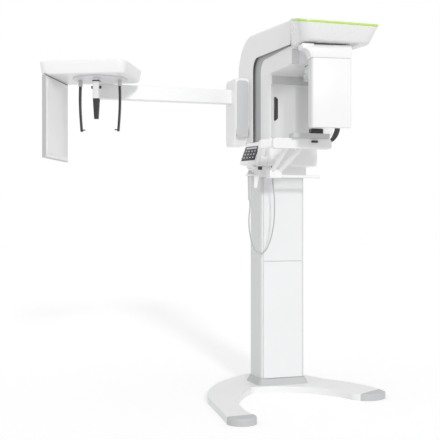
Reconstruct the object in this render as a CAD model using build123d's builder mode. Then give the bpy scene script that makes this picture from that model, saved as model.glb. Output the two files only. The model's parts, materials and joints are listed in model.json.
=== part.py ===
from build123d import *
from math import cos, radians, sin, tan
import os

os.makedirs("parts", exist_ok=True)

# Dental cone-beam X-ray unit with a side arm for skull pictures, in millimetres.
# The origin is the middle of the column's foot on the floor, -Y is the patient's side.

# Base and column
base_height = 42.0
base_edge_round = 8.0
base_corner = 40.0
column_width = 300.0
column_depth = 202.0
column_front = -97.0
column_corner = 14.0
column_wall = 6.0
column_top = 1900.0
cover_width = 264.0
cover_thickness = 8.0
cover_split = 835.0
cover_gap = 2.0
skirt_height = 40.0
skirt_flare = 21.0
skirt_margin = 4.0
anchor_radius = 6.5
anchor_spacing_x = 200.0
anchor_spacing_y = 130.0

# Lift drive
screw_radius = 12.0
screw_y = 60.0
motor_radius = 45.0
motor_height = 190.0
rail_width = 20.0
rail_depth = 15.0
rail_spacing = 200.0
nut_clearance = 0.4
lift_down = 350.0
lift_up = 200.0

# Carriage
sliding_gap = 3.0
collar_bottom = 1373.0
shroud_bottom = 1439.0
shell_bottom = 1603.0
seam = 0.3
collar_width = 320.0
collar_depth = 240.0
shroud_half_width = 165.0
shroud_wall = 5.0
front_face = -290.0
shroud_back = 150.0
shell_wall = 4.0
inner_shell_back = -86.0
inner_shell_top = 2130.0
ceiling = 2007.0
inner_arm_end = -638.0
outer_half_width = 178.0
outer_leg_front = 45.0
outer_leg_back = 274.0
outer_arm_bottom = 2135.0
arm_end = -638.0
liner_gap = 3.5
liner_thickness = 4.0

# Canopy
canopy_half_width = 197.0
canopy_front = -942.0
canopy_bottom = 2100.0
canopy_flare = 20.0
canopy_corner = 30.0
canopy_slope = 12.6
canopy_rim_front = 2187.0
canopy_side_back = -786.0
trim_height = 9.0
lid_height = 5.0
lid_inset = 7.0

# Gantry
axis_y = -620.0
gantry_yaw = -7.0
hub_radius = 60.0
drum_radius = 120.0
bridge_height = 42.0
bridge_gap = 4.0
tube_half_width = 120.0
tube_inner = 190.0
tube_outer = 300.0
tube_bottom = 1618.0
tube_top = 2086.0
tube_corner = 16.0
detector_inner = 200.0
detector_outer = 258.0
detector_half_width = 70.0
detector_shift = 105.0
detector_bottom = 1620.0

# Table
bar_y = -600.0
bar_left = -331.0
bar_right = 102.0
bar_bottom = 1520.0
bar_top = 1580.0
bar_depth = 46.0
tube_radius = 15.0
rail_y = -340.0

# Skull arm and its head
bracket_left = -270.0
ceph_arm_y = 160.0
ceph_arm_depth = 60.0
ceph_arm_bottom = 1866.0
ceph_arm_height = 95.0
ceph_arm_left = -1150.0
ceph_x = -1180.0
ceph_y = -50.0
ceph_yaw = -26.0
ceph_canopy_bottom = 1961.5
ceph_canopy_height = 78.0
rotor_radius = 165.0
rotor_height = 8.0
ear_pivot = 119.0
ear_bottom = 1637.0

# Cord of the exposure switch
cord_radius = 4.0

column_middle_y = column_front + column_depth / 2
column_back = column_front + column_depth
cover_front = column_front - cover_thickness
opening_half_x = column_width / 2 + sliding_gap
opening_front = cover_front - sliding_gap
opening_back = column_back + sliding_gap
opening_depth = opening_back - opening_front
opening_y = (opening_back + opening_front) / 2


def save(solid, name):
    """Label a finished piece and write it under its own name."""
    solid.label = name
    export_step(solid, f"parts/{name}.step")


def turned(x, y, z, yaw):
    """Horizontal plane through a point, with its X axis turned by the yaw angle."""
    x_dir = (cos(radians(yaw)), sin(radians(yaw)), 0)
    return Plane(origin=(x, y, z), x_dir=x_dir, z_dir=(0, 0, 1))


def upright(x, y, z, yaw):
    """Vertical plane through a point that faces the front, turned by the yaw angle."""
    x_dir = (cos(radians(yaw)), sin(radians(yaw)), 0)
    normal = (sin(radians(yaw)), -cos(radians(yaw)), 0)
    return Plane(origin=(x, y, z), x_dir=x_dir, z_dir=normal)


def block(x_lo, x_hi, y_lo, y_hi, z_lo, z_hi, corner=0.0):
    """Plain block between its limits, with rounded upright edges."""
    with BuildPart() as body:
        with BuildSketch(Plane.XY.offset(z_lo)):
            with Locations(((x_lo + x_hi) / 2, (y_lo + y_hi) / 2)):
                if corner > 0:
                    RectangleRounded(x_hi - x_lo, y_hi - y_lo, corner)
                else:
                    Rectangle(x_hi - x_lo, y_hi - y_lo)
        extrude(amount=z_hi - z_lo)
    return body.part


def base_outline():
    """Plan of the floor casting: two curved legs that join behind the column."""
    with BuildSketch(Plane.XY, mode=Mode.PRIVATE) as plan:
        with BuildLine():
            heel = ThreePointArc((60, 345), (-30, 352), (-120, 325))
            left_out = ThreePointArc(heel @ 1, (-447, -16), (-590, -380))
            left_low = ThreePointArc(left_out @ 1, (-612, -600), (-650, -905))
            left_tip = ThreePointArc(left_low @ 1, (-590, -995), (-495, -877))
            left_in = ThreePointArc(left_tip @ 1, (-437, -490), (-227, -149))
            crotch = ThreePointArc(left_in @ 1, (60, -222), (285, -522))
            right_tip = ThreePointArc(crotch @ 1, (410, -588), (515, -520))
            right_out = ThreePointArc(right_tip @ 1, (478, -250), (330, 10))
            ThreePointArc(right_out @ 1, (230, 230), heel @ 0)
        make_face()
        fillet(plan.vertices(), radius=base_corner)
    return plan.sketch


left_cap_plane = Plane(origin=(-570, -905, 0), x_dir=(1, 0.1, 0), z_dir=(-0.1, 1, 0))
right_cap_plane = Plane(origin=(400, -515, 0), x_dir=(1, 0.62, 0), z_dir=(-0.62, 1, 0))


def base_body(keep_left, keep_right):
    """The rounded slab of the base, kept on the named sides of the two cap planes."""
    with BuildPart() as slab:
        add(base_outline())
        extrude(amount=base_height)
        fillet(slab.faces().sort_by(Axis.Z)[-1].edges(), radius=base_edge_round)
        split(bisect_by=left_cap_plane, keep=keep_left)
        split(bisect_by=right_cap_plane, keep=keep_right)
    return slab.part


# Floor casting: one heavy plate with the anchor holes under the column

with BuildPart() as base_casting:
    add(base_body(Keep.TOP, Keep.TOP))
    with BuildSketch(Plane.XY):
        with GridLocations(anchor_spacing_x, anchor_spacing_y, 2, 2):
            Circle(anchor_radius)
    extrude(amount=base_height, mode=Mode.SUBTRACT)
save(base_casting.part, "base_casting")

save(base_body(Keep.BOTTOM, Keep.TOP), "foot_cap_left")
save(base_body(Keep.TOP, Keep.BOTTOM), "foot_cap_right")

# Flared trim round the foot of the column

with BuildPart() as column_skirt:
    with BuildSketch(Plane.XY.offset(base_height)):
        with Locations((0, column_middle_y - cover_thickness / 2)):
            RectangleRounded(
                column_width + 2 * (skirt_margin + skirt_flare),
                column_depth + cover_thickness + 2 * (skirt_margin + skirt_flare),
                column_corner + skirt_flare,
            )
    with BuildSketch(Plane.XY.offset(base_height + skirt_height)):
        with Locations((0, column_middle_y - cover_thickness / 2)):
            RectangleRounded(
                column_width + 2 * skirt_margin,
                column_depth + cover_thickness + 2 * skirt_margin,
                column_corner + skirt_margin,
            )
    loft()
    with BuildSketch(Plane.XY.offset(base_height)):
        with Locations((0, column_middle_y - cover_thickness / 2)):
            Rectangle(column_width + seam, column_depth + cover_thickness + seam)
    extrude(amount=skirt_height, mode=Mode.SUBTRACT)
save(column_skirt.part, "column_skirt")

# Column: a hollow profile with a long slot at the back for the lift nut

nut_bottom = 1612.0
nut_height = 50.0
slot_width = 60.0
slot_bottom = nut_bottom - lift_down - 15.0
slot_top = nut_bottom + nut_height + lift_up + 15.0

with BuildPart() as column_profile:
    with BuildSketch(Plane.XY.offset(base_height)):
        with Locations((0, column_middle_y)):
            RectangleRounded(column_width, column_depth, column_corner)
            RectangleRounded(
                column_width - 2 * column_wall,
                column_depth - 2 * column_wall,
                column_corner - column_wall,
                mode=Mode.SUBTRACT,
            )
    extrude(amount=column_top - base_height)
    with BuildSketch(Plane.XZ.offset(-column_back)):
        with Locations((0, (slot_bottom + slot_top) / 2)):
            SlotOverall(slot_top - slot_bottom, slot_width, rotation=90)
    extrude(amount=2 * column_wall, both=True, mode=Mode.SUBTRACT)
save(column_profile.part, "column_profile")

# Front covers, with the split line between them

cover_bottom = base_height + skirt_height + cover_gap


def column_cover(z_lo, z_hi):
    """Flat front cover of the column with rounded outer edges."""
    with BuildPart() as cover:
        with BuildSketch(Plane.XY.offset(z_lo)):
            with Locations((0, cover_front + cover_thickness / 2)):
                Rectangle(cover_width, cover_thickness)
        extrude(amount=z_hi - z_lo)
        front_edges = cover.faces().sort_by(Axis.Y)[0].edges()
        fillet(front_edges, radius=cover_thickness / 3)
    return cover.part


save(column_cover(cover_bottom, cover_split - cover_gap / 2), "column_cover_lower")
save(column_cover(cover_split + cover_gap / 2, column_top), "column_cover_upper")

# Lift screw, its motor, and the two guide rails inside the column

motor_bottom = base_height + 30.0
motor_top = motor_bottom + motor_height
screw_top = column_top - 20.0

with BuildPart() as lift_motor:
    with BuildSketch(Plane.XY.offset(motor_bottom)):
        with Locations((0, screw_y - 20)):
            Circle(motor_radius)
    extrude(amount=motor_height)
    with BuildSketch(Plane.XY.offset(base_height)):
        with Locations((0, screw_y - 20)):
            Rectangle(2 * motor_radius, 1.4 * motor_radius)
    extrude(amount=motor_bottom - base_height)
save(lift_motor.part, "lift_motor")

with BuildPart() as lift_screw:
    with BuildSketch(Plane.XY.offset(motor_top)):
        with Locations((0, screw_y)):
            Circle(screw_radius)
    extrude(amount=screw_top - motor_top)
save(lift_screw.part, "lift_screw")

for side, name in ((-1, "guide_rail_left"), (1, "guide_rail_right")):
    rail_x = side * rail_spacing / 2
    rail_back = column_back - column_wall
    rail = block(
        rail_x - rail_width / 2,
        rail_x + rail_width / 2,
        rail_back - rail_depth,
        rail_back,
        base_height + 60,
        column_top - 10,
    )
    save(rail, name)

# Lift nut: it rides on the screw and reaches out through the slot to the carriage

outer_leg_inside = outer_leg_back - shell_wall
with BuildPart() as lift_nut:
    with BuildSketch(Plane.XY.offset(nut_bottom)):
        with Locations((0, (screw_y - 25 + outer_leg_inside) / 2)):
            Rectangle(slot_width - 10, outer_leg_inside - screw_y + 25)
        with Locations((0, screw_y)):
            Circle(screw_radius + nut_clearance, mode=Mode.SUBTRACT)
    extrude(amount=nut_height)
save(lift_nut.part, "lift_nut")

# Collar round the column under the carriage

with BuildPart() as carriage_collar:
    with BuildSketch(Plane.XY.offset(collar_bottom)):
        RectangleRounded(collar_width, collar_depth, column_corner)
        with Locations((0, opening_y)):
            Rectangle(2 * opening_half_x, opening_depth, mode=Mode.SUBTRACT)
    extrude(amount=shroud_bottom - collar_bottom)
save(carriage_collar.part, "carriage_collar")

# Lower shroud: a deep tray round the column, open at the top

shroud_top = shell_bottom - seam
with BuildPart() as lower_shroud:
    with BuildSketch(Plane.XY.offset(shroud_bottom)):
        with Locations((0, (front_face + shroud_back) / 2)):
            RectangleRounded(2 * shroud_half_width, shroud_back - front_face, 25)
    extrude(amount=shroud_top - shroud_bottom)
    fillet(lower_shroud.faces().sort_by(Axis.Z)[0].edges(), radius=12)
    with BuildSketch(Plane.XY.offset(shroud_bottom + 20)):
        with Locations((0, (front_face + shroud_back) / 2)):
            RectangleRounded(
                2 * (shroud_half_width - shroud_wall),
                shroud_back - front_face - 2 * shroud_wall,
                25 - shroud_wall,
            )
    extrude(amount=shroud_top - shroud_bottom, mode=Mode.SUBTRACT)
    with BuildSketch(Plane.XY.offset(shroud_bottom)):
        with Locations((0, opening_y)):
            Rectangle(2 * opening_half_x, opening_depth)
    extrude(amount=25, mode=Mode.SUBTRACT)
save(lower_shroud.part, "lower_shroud")

# Inner shell: the front of the leg and the ceiling over the patient

with BuildPart() as inner_shell:
    with BuildSketch(Plane.YZ) as inner_side:
        with BuildLine():
            Polyline(
                (inner_shell_back, shell_bottom),
                (front_face, shell_bottom),
                (front_face, ceiling),
                (inner_arm_end, ceiling),
                (inner_arm_end, inner_shell_top),
                (inner_shell_back, inner_shell_top),
                close=True,
            )
        make_face()
    extrude(amount=shroud_half_width, both=True)
    side_edges = inner_shell.edges().filter_by(Axis.Z) + inner_shell.edges().filter_by(Axis.Y)
    front_side = side_edges.filter_by(lambda e: e.center().Y < inner_shell_back - 1)
    fillet(front_side.filter_by(lambda e: e.center().Z < inner_shell_top - 1), radius=22)
    with BuildSketch(Plane.YZ) as inner_hollow:
        add(inner_side.sketch_local.face())
        offset(amount=-shell_wall, kind=Kind.INTERSECTION)
    hollow_face = inner_hollow.sketch.face()
    hollow_width = shroud_half_width - shell_wall
    extrude(to_extrude=hollow_face, amount=hollow_width, both=True, mode=Mode.SUBTRACT)
    shifted_face = hollow_face.moved(Location((0, 2 * shell_wall, 2 * shell_wall)))
    extrude(to_extrude=shifted_face, amount=hollow_width, both=True, mode=Mode.SUBTRACT)
    with BuildSketch(Plane.XY.offset(shell_bottom - 1)):
        with Locations((0, (front_face + inner_shell_back) / 2 + shell_wall)):
            Rectangle(2 * hollow_width, inner_shell_back - front_face)
    extrude(amount=4 * shell_wall, mode=Mode.SUBTRACT)
    with BuildSketch(Plane.XY.offset(ceiling - 1)):
        with Locations((0, axis_y)):
            Circle(drum_radius + seam)
        with Locations((0, axis_y - drum_radius)):
            Rectangle(2 * drum_radius + 2 * seam, 2 * drum_radius)
    extrude(amount=200, mode=Mode.SUBTRACT)
save(inner_shell.part, "inner_shell")

# Dark liners between the two shells, one on each side of the column

liner_inner = column_width / 2 + liner_gap
for side, name in ((-1, "liner_left"), (1, "liner_right")):
    with BuildPart() as liner:
        with BuildSketch(Plane.YZ.offset(side * (liner_inner + liner_thickness / 2))):
            with BuildLine():
                Polyline(
                    (80, shell_bottom + 2),
                    (-130, shell_bottom + 2),
                    (-130, 2060),
                    (-600, 2060),
                    (-600, 2180),
                    (80, 2180),
                    close=True,
                )
            make_face()
        extrude(amount=liner_thickness / 2, both=True)
    save(liner.part, name)

# Outer shell: the arch that runs up the back and over the patient

with BuildPart() as outer_shell:
    with BuildSketch(Plane.YZ) as outer_side:
        with BuildLine():
            back = Line((outer_leg_back, shell_bottom), (outer_leg_back, 2020))
            shoulder = TangentArc(back @ 1, (20, 2306), tangent=(0, 1))
            crest = TangentArc(shoulder @ 1, (-299, 2301), tangent=shoulder % 1)
            top = TangentArc(crest @ 1, (arm_end, 2276), tangent=crest % 1)
            front = Line(top @ 1, (arm_end, outer_arm_bottom))
            under = Line(front @ 1, (-70, outer_arm_bottom))
            inside = ThreePointArc(under @ 1, (16, 2106), (outer_leg_front, 2030))
            leg = Line(inside @ 1, (outer_leg_front, shell_bottom))
            Line(leg @ 1, back @ 0)
        make_face()
    extrude(amount=outer_half_width, both=True)
    arch_edges = outer_shell.faces().sort_by(Axis.X)[0].edges()
    arch_edges += outer_shell.faces().sort_by(Axis.X)[-1].edges()
    arch_back = arch_edges.filter_by(
        lambda e: e.center().Y > 150 or e.center().Z > outer_arm_bottom + 100
    )
    arch_round = arch_back.filter_by(lambda e: e.center().Z > shell_bottom + 1)
    fillet(arch_round, radius=20)
    with BuildSketch(Plane.YZ) as outer_hollow:
        add(outer_side.sketch_local.face())
        offset(amount=-shell_wall, kind=Kind.INTERSECTION)
    arch_face = outer_hollow.sketch.face()
    arch_width = outer_half_width - shell_wall
    extrude(to_extrude=arch_face, amount=arch_width, both=True, mode=Mode.SUBTRACT)
    arch_shift = arch_face.moved(Location((0, -2 * shell_wall, -2 * shell_wall)))
    extrude(to_extrude=arch_shift, amount=arch_width, both=True, mode=Mode.SUBTRACT)
save(outer_shell.part, "outer_shell")

# Canopy over the patient, cut by a sloping plane; the trim and the lid lie on it

rim_front_y = canopy_front - 38.0
rim_plane = Plane(
    origin=(0, rim_front_y, canopy_rim_front),
    x_dir=(1, 0, 0),
    z_dir=(0, -sin(radians(canopy_slope)), cos(radians(canopy_slope))),
)


def canopy_body(inset, taper):
    """Flared body over the canopy's plan, taller than any piece cut from it."""
    half = canopy_half_width - inset
    end_half = outer_half_width - 38.0 - inset
    with BuildPart() as body:
        with BuildSketch(Plane.XY.offset(canopy_bottom)) as plan:
            with BuildLine():
                Polyline(
                    (-half, canopy_front + inset),
                    (half, canopy_front + inset),
                    (half, canopy_side_back),
                    (end_half, arm_end - seam),
                    (-end_half, arm_end - seam),
                    (-half, canopy_side_back),
                    close=True,
                )
            make_face()
            fillet(plan.vertices().group_by(Axis.Y)[0], radius=canopy_corner)
            fillet(plan.vertices().group_by(Axis.Y)[-2], radius=canopy_corner)
        extrude(amount=260, taper=-taper)
        split(bisect_by=Plane.XZ.offset(-arm_end + seam), keep=Keep.TOP)
    return body.part


with BuildPart() as canopy:
    add(canopy_body(0, canopy_flare))
    split(bisect_by=rim_plane, keep=Keep.BOTTOM)
save(canopy.part, "canopy")

with BuildPart() as canopy_trim:
    add(canopy_body(0, canopy_flare))
    split(bisect_by=rim_plane, keep=Keep.TOP)
    split(bisect_by=rim_plane.offset(trim_height), keep=Keep.BOTTOM)
save(canopy_trim.part, "canopy_trim")

with BuildPart() as canopy_lid:
    add(canopy_body(lid_inset, canopy_flare))
    split(bisect_by=rim_plane.offset(trim_height), keep=Keep.TOP)
    split(bisect_by=rim_plane.offset(trim_height + lid_height), keep=Keep.BOTTOM)
save(canopy_lid.part, "canopy_lid")

# Dark plate under the canopy and the housing of the slewing bearing

underplate_height = 10.0
save(
    block(-130, 130, -930, -752, canopy_bottom - underplate_height, canopy_bottom, 12),
    "canopy_underplate",
)

with BuildPart() as bearing_drum:
    with BuildSketch(Plane.XY.offset(ceiling)):
        with Locations((0, axis_y)):
            Circle(drum_radius)
            Circle(hub_radius + 5, mode=Mode.SUBTRACT)
    extrude(amount=canopy_bottom - ceiling - seam)
    with BuildSketch(Plane.XY.offset(canopy_bottom - 20)):
        with Locations((0, axis_y)):
            Circle(drum_radius)
    extrude(amount=20 - seam)
save(bearing_drum.part, "bearing_drum")

# Pieces on the front face: smoked band, mirror and the dark slot window

band_bottom = 1947.0
mirror_left = -155.0
mirror_right = 146.0
mirror_thickness = 4.0

with BuildPart() as smoked_band:
    with BuildSketch(Plane.XZ.offset(-front_face)):
        with Locations((0, (band_bottom + 1995) / 2)):
            Rectangle(2 * 148, 1995 - band_bottom)
    extrude(amount=mirror_thickness)
save(smoked_band.part, "smoked_band")

window_left = -153.0
window_right = -117.0
window_bottom = 1710.0
window_top = 1866.0
window_middle = ((window_left + window_right) / 2, (window_bottom + window_top) / 2)

with BuildPart() as mirror_panel:
    with BuildSketch(Plane.XZ.offset(-front_face)):
        with Locations(((mirror_left + mirror_right) / 2, (shell_bottom + band_bottom) / 2)):
            Rectangle(mirror_right - mirror_left, band_bottom - shell_bottom - 2)
    extrude(amount=mirror_thickness)
    fillet(mirror_panel.edges().filter_by(Axis.Y).group_by(Axis.Z)[0], radius=14)
save(mirror_panel.part, "mirror_panel")

with BuildPart() as slot_window:
    with BuildSketch(Plane.XZ.offset(-front_face + mirror_thickness)):
        with Locations(window_middle):
            RectangleRounded(window_right - window_left, window_top - window_bottom, 14)
    extrude(amount=3)
save(slot_window.part, "slot_window")

# Bracket of the skull arm, the arm, and the canopy at its end

with BuildPart() as ceph_bracket:
    with BuildSketch(Plane.YZ.offset(bracket_left)):
        with BuildLine():
            Polyline((50, 1700), (110, 1590), (250, 1590), (262, 1640), (262, 2010),
                     (235, 2030), (70, 2030), (50, 2010), close=True)
        make_face()
    extrude(amount=-outer_half_width - bracket_left - seam)
    fillet(ceph_bracket.faces().sort_by(Axis.X)[0].edges(), radius=14)
save(ceph_bracket.part, "ceph_bracket")

with BuildPart() as ceph_arm:
    with BuildSketch(Plane.YZ.offset(bracket_left - seam)):
        with Locations((ceph_arm_y, ceph_arm_bottom + ceph_arm_height / 2)):
            RectangleRounded(ceph_arm_depth, ceph_arm_height, 8)
            RectangleRounded(ceph_arm_depth - 8, ceph_arm_height - 8, 4, mode=Mode.SUBTRACT)
    extrude(amount=ceph_arm_left - bracket_left)
save(ceph_arm.part, "ceph_arm")

ceph_top_plane = turned(ceph_x, ceph_y, ceph_canopy_bottom, ceph_yaw)
with BuildPart() as ceph_canopy:
    with BuildSketch(ceph_top_plane):
        with Locations((-40, 25)):
            RectangleRounded(500, 450, 45)
    extrude(amount=ceph_canopy_height)
    fillet(ceph_canopy.faces().sort_by(Axis.Z)[-1].edges(), radius=20)
    fillet(ceph_canopy.faces().sort_by(Axis.Z)[0].edges(), radius=12)
save(ceph_canopy.part, "ceph_canopy")

panel_bottom = 1472.0
with BuildPart() as ceph_sensor_panel:
    with BuildSketch(turned(ceph_x, ceph_y, panel_bottom, ceph_yaw)):
        with Locations((-281, 0)):
            RectangleRounded(22, 430, 5)
    extrude(amount=ceph_canopy_bottom - seam - panel_bottom)
save(ceph_sensor_panel.part, "ceph_sensor_panel")

# Rotor under the canopy with the two ear arms and the nose rest

rotor_top = ceph_canopy_bottom - 0.5
rotor_bottom = rotor_top - rotor_height
with BuildPart() as ceph_rotor:
    with BuildSketch(turned(ceph_x, ceph_y, rotor_bottom, ceph_yaw)):
        Circle(rotor_radius)
    extrude(amount=rotor_height)
save(ceph_rotor.part, "ceph_rotor")

arm_top = rotor_bottom - 0.5
for side, name in ((-1, "ear_arm_left"), (1, "ear_arm_right")):
    with BuildPart() as ear_arm:
        with BuildSketch(turned(ceph_x, ceph_y, ear_bottom, ceph_yaw)):
            with Locations((side * (ear_pivot + 3), 0)):
                RectangleRounded(14, 22, 5)
        with BuildSketch(turned(ceph_x, ceph_y, arm_top, ceph_yaw)):
            with Locations((side * (ear_pivot - 3), 0)):
                RectangleRounded(30, 36, 7)
        loft()
        plug_plane = turned(ceph_x, ceph_y, ear_bottom + 13, ceph_yaw)
        plug_start = plug_plane.from_local_coords(Vector(side * ear_pivot, 0, 0))
        plug_dir = plug_plane.x_dir * -side
        with BuildSketch(Plane(origin=plug_start, z_dir=plug_dir)):
            Circle(6)
        extrude(amount=34, taper=4)
    save(ear_arm.part, name)

nose_v = -80.0
with BuildPart() as nose_block:
    with BuildSketch(turned(ceph_x, ceph_y, 1830, ceph_yaw)):
        with Locations((0, nose_v)):
            RectangleRounded(38, 44, 8)
    extrude(amount=arm_top - 1830)
save(nose_block.part, "nose_block")

with BuildPart() as nose_rod:
    with BuildSketch(turned(ceph_x, ceph_y, 1708, ceph_yaw)):
        with Locations((0, nose_v)):
            RectangleRounded(26, 26, 8)
    with BuildSketch(turned(ceph_x, ceph_y, 1829.5, ceph_yaw)):
        with Locations((0, nose_v)):
            RectangleRounded(38, 40, 8)
    loft()
save(nose_rod.part, "nose_rod")

# Gantry: hub, bridge under the ceiling, tube housing in front, detector behind

bridge_top = ceiling - bridge_gap
bridge_bottom = bridge_top - bridge_height

with BuildPart() as gantry_hub:
    with BuildSketch(turned(0, axis_y, bridge_top, gantry_yaw)):
        Circle(hub_radius)
    extrude(amount=canopy_bottom - 30 - bridge_top)
save(gantry_hub.part, "gantry_hub")

with BuildPart() as gantry_bridge:
    with BuildSketch(turned(0, axis_y, bridge_bottom, gantry_yaw)):
        with Locations((45, 0)):
            RectangleRounded(130, 2 * (tube_inner - seam), 20)
        Circle(hub_radius + 4)
        with Locations((75, 240)):
            Rectangle(130, 110)
    extrude(amount=bridge_height)
save(gantry_bridge.part, "gantry_bridge")

with BuildPart() as tube_housing:
    with BuildSketch(turned(0, axis_y, tube_bottom, gantry_yaw)):
        with Locations((0, -(tube_inner + tube_outer) / 2)):
            RectangleRounded(2 * tube_half_width, tube_outer - tube_inner, tube_corner)
    extrude(amount=tube_top - tube_bottom)
    fillet(tube_housing.faces().sort_by(Axis.Z)[0].edges(), radius=8)
save(tube_housing.part, "tube_housing")

with BuildPart() as tube_port:
    with BuildSketch(upright(0, axis_y, 0, gantry_yaw)):
        with Locations((0, 1790)):
            RectangleRounded(90, 200, 12)
    extrude(amount=tube_inner - seam)
    with BuildSketch(upright(0, axis_y, 0, gantry_yaw)):
        with Locations((0, 1790)):
            Rectangle(100, 220)
    extrude(amount=tube_inner - 8, mode=Mode.SUBTRACT)
save(tube_port.part, "collimator_window")

with BuildPart() as detector:
    with BuildSketch(turned(0, axis_y, detector_bottom, gantry_yaw)):
        with Locations((detector_shift, (detector_inner + detector_outer) / 2)):
            RectangleRounded(2 * detector_half_width, detector_outer - detector_inner, 12)
    extrude(amount=bridge_bottom - seam - detector_bottom)
    fillet(detector.faces().sort_by(Axis.Z)[0].edges(), radius=6)
save(detector.part, "detector_housing")

# Table: strap arm, bar, inclined tubes, knuckle and hand rail

strap_points = (
    (-shroud_half_width + 12, -229, 1468),
    (-232, -268, 1470),
    (bar_left + 11, bar_y + 55, 1545),
    (bar_left + 62, bar_y, 1550),
)
with BuildPart() as table_bar:
    with BuildSketch(Plane.XZ.offset(-bar_y)):
        with Locations(((bar_left + bar_right) / 2 + 30, (bar_bottom + bar_top) / 2)):
            RectangleRounded(bar_right - bar_left - 60, bar_top - bar_bottom, 20)
    extrude(amount=bar_depth / 2, both=True)
save(table_bar.part, "table_bar")

strap_width = 58.0
strap_thickness = 22.0
stem_radius = 8.0
knob_x = -226.0
knob_y = -285.0
with BuildPart() as strap_arm:
    with BuildLine() as strap_path:
        FilletPolyline(*strap_points, radius=20)
    strap_start = strap_path.line @ 0
    strap_way = strap_path.line % 0
    strap_across = strap_way.cross(Vector(0, 0, 1))
    with BuildSketch(Plane(origin=strap_start, x_dir=strap_across, z_dir=strap_way)):
        RectangleRounded(strap_thickness, strap_width, 9)
    sweep()
    add(table_bar.part, mode=Mode.SUBTRACT)
    split(bisect_by=Plane.YZ.offset(-shroud_half_width - seam), keep=Keep.BOTTOM)
    with BuildSketch(Plane.XY.offset(1430)):
        with Locations((knob_x, knob_y)):
            Circle(stem_radius + 0.5)
    extrude(amount=30, mode=Mode.SUBTRACT)
save(strap_arm.part, "strap_arm")

rail_knuckle = block(-190, -108, rail_y - 22, front_face - seam, 1359, 1408, 8)
save(rail_knuckle, "rail_knuckle")

for name, top_point, low_point in (
    ("table_tube_right", (-73, bar_y, 1540), (-124, rail_y + 10, 1392)),
    ("table_tube_left", (-168, bar_y, 1540), (-168, rail_y + 10, 1392)),
):
    with BuildPart() as table_tube:
        with BuildLine() as tube_line:
            Line(low_point, top_point)
        with BuildSketch(Plane(origin=low_point, z_dir=tube_line.line % 0)):
            Circle(tube_radius)
        sweep()
        add(table_bar.part, mode=Mode.SUBTRACT)
        add(rail_knuckle, mode=Mode.SUBTRACT)
    save(table_tube.part, name)

with BuildPart() as hand_rail:
    with BuildSketch(Plane.YZ.offset(-108 + seam)):
        with Locations((rail_y, 1370)):
            Circle(10)
    extrude(amount=263)
    fillet(hand_rail.faces().sort_by(Axis.X)[-1].edges(), radius=8)
save(hand_rail.part, "hand_rail")

save(block(-158, 80, -655, -577, bar_top + seam, 1608, 14), "chin_plate")

with BuildPart() as chin_rest:
    with BuildSketch(Plane.XY.offset(1609)):
        with Locations((0, -625)):
            RectangleRounded(80, 50, 14)
    extrude(amount=30)
    fillet(chin_rest.faces().sort_by(Axis.Z)[-1].edges(), radius=8)
save(chin_rest.part, "chin_rest")

with BuildPart() as head_blade:
    with BuildSketch(Plane.XZ.offset(-bar_y)):
        with BuildLine():
            outer_blade = ThreePointArc((102, 1560), (146, 1600), (160, 1680))
            blade_top = Line(outer_blade @ 1, (140, 1680))
            inner_blade = ThreePointArc(blade_top @ 1, (126, 1612), (103, 1580))
            Line(inner_blade @ 1, outer_blade @ 0)
        make_face()
    extrude(amount=12, both=True)
save(head_blade.part, "head_blade")

with BuildPart() as bar_knob:
    with BuildSketch(Plane.XZ.offset(-bar_y + bar_depth / 2 + seam)):
        with Locations((-10, 1562)):
            RectangleRounded(40, 12, 5)
    extrude(amount=10)
save(bar_knob.part, "bar_knob")

# Console on the left of the carriage, the stop knob and the exposure switch

console_yaw = 73.0
screen_tilt = 23.0
console_centre = Vector(-250, -170, 1520)
facing = Vector(
    -sin(radians(console_yaw)) * cos(radians(screen_tilt)),
    -cos(radians(console_yaw)) * cos(radians(screen_tilt)),
    sin(radians(screen_tilt)),
)
along = Vector(cos(radians(console_yaw)), -sin(radians(console_yaw)), 0)
screen_plane = Plane(origin=console_centre, x_dir=along, z_dir=facing)

with BuildPart() as console_housing:
    with BuildSketch(screen_plane.offset(-3)):
        RectangleRounded(160, 150, 18)
    extrude(amount=-70, taper=14)
    with BuildSketch(screen_plane.offset(-3)):
        Rectangle(141, 99)
    extrude(amount=-8, mode=Mode.SUBTRACT)
    split(bisect_by=Plane.YZ.offset(-shroud_half_width - seam), keep=Keep.BOTTOM)
save(console_housing.part, "console_housing")

with BuildPart() as console_screen:
    with BuildSketch(screen_plane.offset(-11)):
        Rectangle(140, 98)
    extrude(amount=9)
save(console_screen.part, "console_screen")

with BuildPart() as stop_knob:
    with BuildSketch(Plane.XY.offset(1409)):
        with Locations((knob_x, knob_y)):
            Ellipse(36, 22)
    extrude(amount=25)
    fillet(stop_knob.faces().sort_by(Axis.Z)[0].edges(), radius=9)
    with BuildSketch(Plane.XY.offset(1420)):
        with Locations((knob_x, knob_y)):
            Circle(stem_radius)
    extrude(amount=36)
save(stop_knob.part, "stop_knob")

switch_x = -250.0
switch_y = -170.0
switch_bottom = 1223.0
switch_top = 1400.0
switch_low_radius = 11.0
switch_high_radius = 16.0
switch_flange = 19.0
button_radius = 11.0
button_press = 3.0
clip_top = 1386.0

with BuildPart() as exposure_switch:
    with BuildSketch(Plane.XY.offset(switch_bottom)):
        with Locations((switch_x, switch_y)):
            Circle(switch_low_radius)
    with BuildSketch(Plane.XY.offset(switch_top)):
        with Locations((switch_x, switch_y)):
            Circle(switch_high_radius)
    loft()
    with BuildSketch(Plane.XY.offset(clip_top)):
        with Locations((switch_x, switch_y)):
            Circle(switch_flange)
    extrude(amount=5)
    with BuildSketch(Plane.XY.offset(switch_top - 10)):
        with Locations((switch_x, switch_y)):
            Circle(button_radius + 0.4)
    extrude(amount=10, mode=Mode.SUBTRACT)
save(exposure_switch.part, "exposure_switch")

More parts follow.
